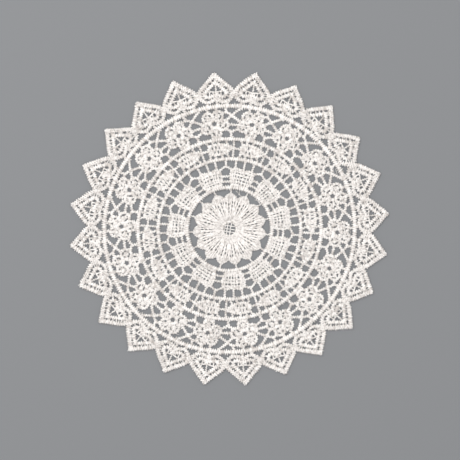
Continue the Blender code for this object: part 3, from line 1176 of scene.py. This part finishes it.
@dataclass
class OvalBand(Lacework):
    """Ribbed ovals between the second and third rings, each tied to both and to the next by short bars.

    A rib has its place across, and its lowest and highest point.
    """

    name = "oval_stitches"
    seed = 14
    band: Band = Band(16, 29.8)
    edging: Line = (
        (-6.4, 49.9), (-6.5, 51.8), (-5.7, 53.2), (-3.4, 53.85), (0.0, 53.95), (3.1, 53.55), (5.5, 52.5),
        (8.0, 51.2), (5.8, 49.4), (3.1, 48.2), (0.0, 47.8), (-3.3, 47.9), (-5.6, 48.6),
    )
    edging_width: float = 2.15
    spine: Line = ((-5.0, 50.75), (-2.5, 50.85), (0.0, 50.65), (3.0, 50.1), (5.4, 49.6))
    spine_width: float = 1.6
    outer_ribs: Sequence[Triple] = (
        (-5.2, 51.1, 53.7), (-3.05, 51.1, 53.8), (-1.15, 51.0, 53.8), (0.8, 50.8, 53.7), (1.75, 50.7, 53.5),
        (2.8, 50.4, 53.3), (4.3, 50.0, 52.8), (5.7, 50.3, 52.2),
    )
    inner_ribs: Sequence[Triple] = (
        (-5.0, 48.2, 50.8), (-3.75, 48.0, 50.8), (-1.85, 47.9, 50.8), (0.15, 47.9, 50.7), (2.05, 48.0, 50.4),
        (3.4, 48.3, 50.1),
    )
    closed_share: float = 0.1
    rib_sway: float = 0.18
    rib_lean: float = 0.25
    rib_strands: Floats = (-0.37, 0.0, 0.37)
    rib_slack: float = 0.1
    rib_widths: Span = (0.48, 0.68)
    rib_lift: float = 0.1
    bars: Lines = (
        ((-8.13, 56.38), (-7.31, 55.06), (-5.92, 53.3)), ((-3.65, 56.45), (-3.59, 54.12)),
        ((0.06, 56.45), (0.13, 54.18)), ((5.29, 56.26), (5.04, 52.92)),
        ((-6.17, 45.05), (-6.11, 47.25), (-5.23, 48.76)), ((-2.71, 45.05), (-2.65, 47.88)),
        ((1.2, 45.05), (1.13, 47.88)), ((5.23, 44.86), (4.66, 47.25), (4.28, 48.89)),
        ((-5.67, 50.53), (-8.19, 50.46), (-11.09, 49.9)),
    )
    post: Line = ((-0.19, 45.11), (0.0, 47.88), (0.0, 51.03), (0.13, 53.87), (0.0, 56.57))
    post_turn: float = -9.8

    def draw(self) -> None:
        """Draws each oval with its ribs and bars, and the post beside it."""
        for axis in self.band.axes():
            self.cord(EDGING, self.edging, axis, closed=True, width=self.edging_width)
            self.cord(FINE_BAR, self.spine, axis, width=self.spine_width)
            for ribs in (self.outer_ribs, self.inner_ribs):
                self.draw_ribs(axis, ribs)
            for bar in self.bars:
                self.bar(bar, axis)
        for axis in self.band.axes(self.post_turn):
            self.bar(self.post, axis)

    def draw_ribs(self, axis: float, ribs: Sequence[Triple]) -> None:
        """Draws short ribs of three threads from the oval's spine to its edging, and closes some slits.

        Args:
            axis: The oval's angle.
            ribs: The ribs.
        """
        rungs = list(ribs)
        for near, far in zip(ribs, ribs[1:]):
            if self.chance.random() < self.closed_share:
                rungs.append(tuple((here + there) / 2.0 for here, there in zip(near, far)))
        for place, low, high in rungs:
            middle, lean = place + self.sway(self.rib_sway), self.sway(self.rib_lean)
            for strand in self.rib_strands:
                side = strand + self.sway(self.rib_slack)
                line = [(middle + side - lean, low), (middle + side + lean, high)]
                width = self.chance.uniform(*self.rib_widths)
                self.cord(THREAD, line, axis, width=width, lift=self.rib_lift)


@dataclass(frozen=True)
class Petal:
    """Where a petal's middle lies, and the bearings of its small gaps, clockwise from outward."""

    middle: Point
    pits: Floats


@dataclass
class FlowerBand(Lacework):
    """Five-petalled flowers between the third and fourth rings, joined by crossed bars."""

    name = "flower_stitches"
    seed = 15
    band: Band = Band(18, 17.7)
    eye: Point = (-0.6, 67.6)
    eye_radius: float = 2.4
    round_points: int = 8
    petals: tuple[Petal, ...] = (
        Petal((-4.05, 71.2), (30.0, 286.0)),
        Petal((2.0, 72.0), (20.0, 92.0, 152.0, 308.0)),
        Petal((4.65, 66.25), (14.0, 76.0, 110.0, 194.0, 246.0)),
        Petal((-5.5, 65.05), (40.0, 84.0, 108.0, 168.0)),
        Petal((-0.1, 62.0), (112.0, 196.0, 262.0)),
    )
    petal_radius: float = 3.14
    petal_sizes: Span = (0.96, 1.03)
    petal_slack: float = 0.15
    petal_width: float = 1.96
    knot_radius: float = 0.8
    knot_width: float = 1.85
    knot_points: int = 6
    pit_sway: float = 10.0
    pit_width: float = 14.0
    tie_step: float = 37.0
    tie_steps: Span = (0.7, 1.15)
    tie_start: float = 1.0
    tie_inset: float = 0.3
    tie_width: float = 0.82
    tie_lift: float = 0.7
    bar_width: float = 1.95
    bars: Lines = (
        ((-3.84, 77.49), (-4.03, 74.47)), ((1.64, 77.49), (1.83, 74.97)),
        ((7.94, 77.24), (7.62, 75.6), (7.75, 73.9)),
        ((4.79, 73.71), (7.75, 73.71), (9.45, 72.77), (10.9, 71.38)),
        ((17.51, 75.1), (15.44, 74.09), (13.23, 72.83), (10.9, 71.38), (9.01, 70.06), (7.31, 68.67)),
        ((10.9, 71.38), (12.92, 69.3), (15.37, 66.78)),
        ((8.06, 65.83), (10.39, 65.46), (12.47, 65.02), (14.74, 64.64)),
        ((6.68, 62.94), (8.06, 61.87), (9.01, 60.86), (8.95, 59.85), (8.69, 57.71)),
        ((9.01, 60.86), (11.21, 61.61), (14.24, 62.31)), ((-2.14, 59.85), (-2.83, 57.58)),
        ((-0.76, 59.35), (-1.01, 57.58)), ((0.76, 59.35), (0.95, 57.58)), ((2.08, 59.85), (2.46, 57.58)),
    )

    def draw(self) -> None:
        """Draws each flower and the bars on its clockwise side."""
        for axis in self.band.axes():
            self.cord(EYE, circle(self.eye, self.eye_radius, self.round_points), axis, closed=True)
            for petal in self.petals:
                self.draw_petal(petal, axis)
            for bar in self.bars:
                self.bar(bar, axis, self.bar_width)

    def draw_petal(self, petal: Petal, axis: float) -> None:
        """Draws a petal: a round of stitches, a knot in its middle, and ties between its small gaps.

        Args:
            petal: The petal.
            axis: The flower's angle.
        """
        radius = self.petal_radius * self.chance.uniform(*self.petal_sizes)
        centre = tuple(value + self.sway(self.petal_slack) for value in petal.middle)
        edge = circle(centre, radius, self.round_points)
        knot = circle(centre, self.knot_radius, self.knot_points)
        self.cord(PETAL, edge, axis, closed=True, width=self.petal_width)
        self.cord(EDGING, knot, axis, closed=True, width=self.knot_width)
        pits = [pit + self.sway(self.pit_sway) for pit in petal.pits]
        bearing = 0.0
        while bearing < 360.0:
            if all(abs((bearing - pit + 180.0) % 360.0 - 180.0) > self.pit_width for pit in pits):
                ends = (self.tie_start, radius - self.tie_inset)
                tie = [circle(centre, end, 1, bearing)[0] for end in ends]
                self.cord(THREAD, tie, axis, width=self.tie_width, lift=self.tie_lift)
            bearing += self.tie_step * self.chance.uniform(*self.tie_steps)


# The hearts: the seed and size of their tips' small differences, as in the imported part, where a longer heart
# starts to be drawn out, where its tip is, and how far in all of it lies
HEARTS = Band(24, 5.8)
HEART_SEED = 24
HEART_SLACK = 0.7
HEART_BASE = 86.0
HEART_TIP = 99.9
HEART_INSET = 0.2


def hearts() -> Pairs:
    """Each heart's axis, and how much longer it is than the others, in millimetres."""
    chance = random.Random(HEART_SEED)
    return [(axis, chance.uniform(-HEART_SLACK, HEART_SLACK)) for axis in HEARTS.axes()]


def stretched(line: Line, more: float) -> list[Point]:
    """Draws a heart's points out towards its tip, by so much at the tip itself."""
    reach = HEART_TIP - HEART_BASE
    return [(across, out - HEART_INSET + more * max(out - HEART_BASE, 0.0) / reach) for across, out in line]


@dataclass
class HeartRim(Lacework):
    """The double row of stitching round each heart, which is the doily's edge."""

    name = "heart_rims"
    seed = 16
    rows: Lines = (
        (
            (-0.9, 98.95), (0.9, 98.4), (2.35, 96.85), (4.88, 94.34), (7.68, 91.48), (9.8, 89.15),
            (10.85, 87.4), (11.09, 85.68), (10.39, 83.85), (8.76, 82.03), (6.49, 80.95), (4.09, 80.7),
            (2.14, 81.21), (0.63, 82.4),
        ),
        (
            (0.06, 97.59), (4.05, 93.52), (6.9, 90.85), (8.9, 88.85), (9.75, 87.0), (9.7, 85.43),
            (8.95, 83.7), (7.7, 82.2), (5.85, 81.45), (3.78, 81.5), (2.21, 82.28), (0.82, 83.54),
        ),
        (
            (0.55, 99.1), (-1.0, 98.4), (-2.35, 96.95), (-4.88, 94.48), (-7.85, 91.6), (-9.95, 89.3),
            (-10.9, 87.4), (-11.05, 85.7), (-10.3, 83.9), (-8.63, 82.34), (-6.43, 81.33), (-4.09, 81.21),
            (-2.02, 81.84), (-0.63, 82.91),
        ),
        (
            (0.0, 97.65), (-4.12, 93.97), (-7.1, 91.15), (-9.15, 89.1), (-9.95, 87.15), (-9.7, 85.43),
            (-8.95, 83.85), (-7.75, 82.6), (-5.7, 81.65), (-3.78, 81.75), (-2.14, 82.66), (-0.63, 83.92),
        ),
    )

    def draw(self) -> None:
        """Draws the rows round every heart."""
        for axis, extra in hearts():
            for row in self.rows:
                self.cord(HEART_ROW, stretched(row, extra), axis)


@dataclass
class HeartMiddle(Lacework):
    """The padded heart inside each rim, its threads, and the ties to the outer ring."""

    name = "heart_middles"
    seed = 17
    halves: Lines = (
        (
            (-0.3, 94.2), (2.1, 91.85), (4.0, 89.65), (5.7, 87.8), (6.6, 86.25), (6.11, 84.92), (4.6, 84.11),
            (2.9, 84.42), (1.51, 85.18), (0.25, 85.93),
        ),
        (
            (0.3, 94.2), (-2.1, 91.85), (-4.2, 89.75), (-6.1, 87.98), (-6.9, 86.4), (-6.36, 85.05),
            (-4.79, 84.48), (-3.02, 84.8), (-1.64, 85.3), (-0.25, 85.93),
        ),
    )
    stem: Line = ((0.13, 81.27), (0.06, 82.84), (0.0, 84.73))
    stem_widths: Span = (1.3, 1.8)
    fork: Line = ((0.0, 83.54), (0.0, 85.05), (0.0, 86.56))
    fork_width: float = 1.4
    peak: Line = ((0.0, 94.1), (0.0, 93.1), (0.05, 92.2))
    peak_width: float = 1.5
    centre_thread: Line = ((0.06, 86.94), (0.25, 89.46), (0.13, 92.99))
    strips: Lines = (
        (
            (-5.8, 87.89), (-3.15, 87.76), (-0.95, 87.32), (0.0, 87.13), (1.26, 87.25), (3.15, 87.51),
            (5.67, 87.63),
        ),
        ((-3.91, 87.76), (-3.97, 84.92)), ((-1.7, 87.44), (-1.64, 85.43)), ((3.34, 87.51), (3.15, 84.67)),
        ((1.45, 87.25), (1.51, 85.36)),
    )
    strip_width: float = 0.95
    strip_lift: float = 0.5
    rungs: Lines = (
        ((0.57, 97.65), (0.5, 94.75)), ((-3.15, 95.0), (-1.26, 93.43)), ((-4.91, 93.24), (-3.02, 91.54)),
        ((-6.43, 91.73), (-4.54, 89.96)), ((-8.19, 89.46), (-6.43, 87.7)), ((3.09, 94.94), (1.2, 93.3)),
        ((4.79, 92.99), (2.9, 91.35)), ((6.05, 91.54), (4.16, 89.84)), ((8.32, 89.21), (6.55, 87.51)),
        ((9.32, 87.13), (7.06, 87.0)), ((8.95, 83.54), (6.55, 84.67)), ((3.78, 81.77), (3.59, 84.04)),
        ((-3.34, 81.9), (-3.21, 84.42)), ((-8.6, 83.3), (-6.9, 84.9)), ((2.02, 82.28), (2.27, 84.42)),
    )
    rung_sway: float = 0.2
    wide_rungs: Lines = (((-9.32, 87.07), (-7.06, 87.13)), ((-9.32, 85.3), (-7.06, 85.68)))
    wide_rung_width: float = 1.75
    some_rungs: Lines = (
        ((9.5, 85.4), (6.9, 85.9)), ((5.5, 92.3), (3.5, 90.6)), ((1.8, 96.3), (0.9, 94.0)),
        ((-7.3, 90.6), (-5.5, 88.9)),
    )
    some_share: float = 0.6
    ties: Lines = (
        ((-6.05, 78.75), (-5.86, 81.27)), ((0.13, 78.75), (0.06, 80.95), (0.0, 83.16)),
        ((6.3, 78.62), (6.24, 81.02)),
    )
    tie_width: float = 2.1

    def draw(self) -> None:
        """Draws the middle of every heart."""
        for axis, extra in hearts():
            for half in self.halves:
                self.cord(HEART_BAND, stretched(half, extra), axis)
            self.cord(HEART_BAND, self.stem, axis, width=self.chance.uniform(*self.stem_widths))
            self.cord(HEART_BAND, self.fork, axis, width=self.fork_width)
            self.cord(HEART_BAND, stretched(self.peak, extra), axis, width=self.peak_width)
            self.cord(FINE_BAR, stretched(self.centre_thread, extra), axis)
            for strip in self.strips:
                self.cord(THREAD, strip, axis, width=self.strip_width, lift=self.strip_lift)
            for rung in self.rungs:
                sway = self.sway(self.rung_sway)
                line = [(across + sway, out) for across, out in stretched(rung, extra)]
                self.cord(FINE_BAR, line, axis)
            for rung in self.wide_rungs:
                self.cord(FINE_BAR, rung, axis, width=self.wide_rung_width)
            for rung in self.some_rungs:
                if self.chance.random() < self.some_share:
                    self.cord(FINE_BAR, stretched(rung, extra), axis)
            for tie in self.ties:
                self.bar(tie, axis, self.tie_width)


@dataclass
class LooseFibres(Lacework):
    """A few stray fibres across the gaps, left from cutting the threads."""

    name = "loose_fibres"
    seed = 18
    fibres: Lines = (
        ((3.78, 24.32), (5.29, 22.93), (6.55, 21.04), (6.93, 19.91)),
        ((5.8, 23.94), (6.05, 22.68), (5.29, 21.55)), ((16.0, 19.53), (17.26, 18.02), (19.15, 15.75)),
        ((15.5, 18.65), (17.14, 18.14), (18.65, 16.63)), ((64.13, 39.31), (64.64, 36.29), (64.51, 33.14)),
        ((65.77, 38.43), (66.53, 35.41), (67.03, 31.75)), ((58.97, 58.34), (60.98, 56.83), (62.24, 54.31)),
        ((59.85, 57.46), (61.61, 56.32), (63.38, 55.82)), ((74.59, 2.52), (75.35, -1.51), (74.47, -5.54)),
        ((-38.05, -64.13), (-35.03, -65.77), (-31.63, -66.53)),
        ((-61.36, 32.76), (-62.37, 29.48), (-64.76, 27.34)),
        ((11.47, -74.34), (14.11, -72.58), (17.01, -72.2)),
    )
    lift: float = 0.5

    def draw(self) -> None:
        """Draws the fibres."""
        for fibre in self.fibres:
            self.cord(WISP, fibre, FRAME_AXIS, lift=self.lift)


@dataclass(frozen=True)
class Studio:
    """A plain pale floor, soft light, and a camera straight above. A lamp has its place, size and power."""

    floor_width: float = 3.0
    floor_colour: Triple = (0.195, 0.2, 0.207)
    floor_roughness: float = 0.9
    floor_specular: float = 0.1
    frame_width: float = 0.2898
    distance: float = 1.6
    aim: Point = (0.13, -0.31)
    sensor: float = 36.0
    clip_start: float = 0.01
    key_lamp: tuple[Triple, float, float] = ((-0.6, 0.7, 1.3), 0.4, 14.0)
    fill_lamp: tuple[Triple, float, float] = ((0.3, -0.2, 1.7), 1.2, 5.6)
    sky: float = 0.86

    def floor(self) -> None:
        """Makes the floor."""
        half = self.floor_width / 2.0
        mesh = bpy.data.meshes.new("floor")
        corners = [(-half, -half, 0.0), (half, -half, 0.0), (half, half, 0.0), (-half, half, 0.0)]
        mesh.from_pydata(corners, [], [(0, 1, 2, 3)])
        material = bpy.data.materials.new("floor_paper")
        material.use_nodes = True
        surface = {
            "Base Color": (*self.floor_colour, 1.0),
            "Roughness": self.floor_roughness,
            "Specular IOR Level": self.floor_specular,
        }
        Nodes(material.node_tree).fill(material.node_tree.nodes["Principled BSDF"], surface)
        mesh.materials.append(material)
        floor = linked("floor", mesh)

    def camera(self) -> None:
        """Makes the camera, over the middle of the photograph's frame."""
        lens = bpy.data.cameras.new("camera")
        lens.sensor_width = self.sensor
        lens.lens = self.sensor * self.distance / self.frame_width
        lens.clip_start = self.clip_start
        camera = linked("camera", lens)
        camera.location = (self.aim[0] * MM, self.aim[1] * MM, self.distance)
        bpy.context.scene.camera = camera

    def lamp(self, name: str, place: Triple, size: float, power: float) -> None:
        """Makes one soft square lamp aimed at the doily.

        Args:
            name: Its name.
            place: Where it hangs, in metres.
            size: Its width, in metres.
            power: Its power, in watts.
        """
        light = bpy.data.lights.new(name, "AREA")
        light.size = size
        light.energy = power
        lamp = linked(name, light)
        lamp.location = place
        lamp.rotation_euler = Vector(place).to_track_quat("Z", "Y").to_euler()

    def set_up(self) -> None:
        """Makes everything round the doily."""
        self.floor()
        self.camera()
        self.lamp("key_lamp", *self.key_lamp)
        self.lamp("fill_lamp", *self.fill_lamp)
        world = bpy.data.worlds.new("studio")
        world.use_nodes = True
        sky = {"Color": (1.0, 1.0, 1.0, 1.0), "Strength": self.sky}
        Nodes(world.node_tree).fill(world.node_tree.nodes["Background"], sky)
        bpy.context.scene.world = world
        bpy.context.scene.view_settings.view_transform = "Standard"


def report(piece: Object) -> None:
    """Logs how many triangles a piece has."""
    piece.data.calc_loop_triangles()
    LOG.info("%s: %d triangles", piece.name, len(piece.data.loop_triangles))


def main() -> None:
    """Builds the doily's sub-assemblies in order, then the studio."""
    logging.basicConfig(level=logging.INFO, format="%(message)s")
    workshop = Workshop()
    kinds = (Rings, StarMedallion, BlockBand, OvalBand, FlowerBand, HeartRim, HeartMiddle, LooseFibres)
    painted_shade_padding: list[Mesh] = []
    pieces: list[Object] = []
    for kind in kinds:
        part = kind()
        part.draw()
        painted_shade_padding += part.painted_shade_padding(workshop)
        pieces.append(part.stitched(workshop))
        report(pieces[-1])
    ground = joined("lace_ground", painted_shade_padding)
    report(ground)
    for model in workshop.models.values():
        bpy.data.objects.remove(model)
    for piece in [ground, *pieces]:
        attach(piece, BODY)
        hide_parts(NODE)
    Studio().set_up()


if __name__ == "__main__":
    main()
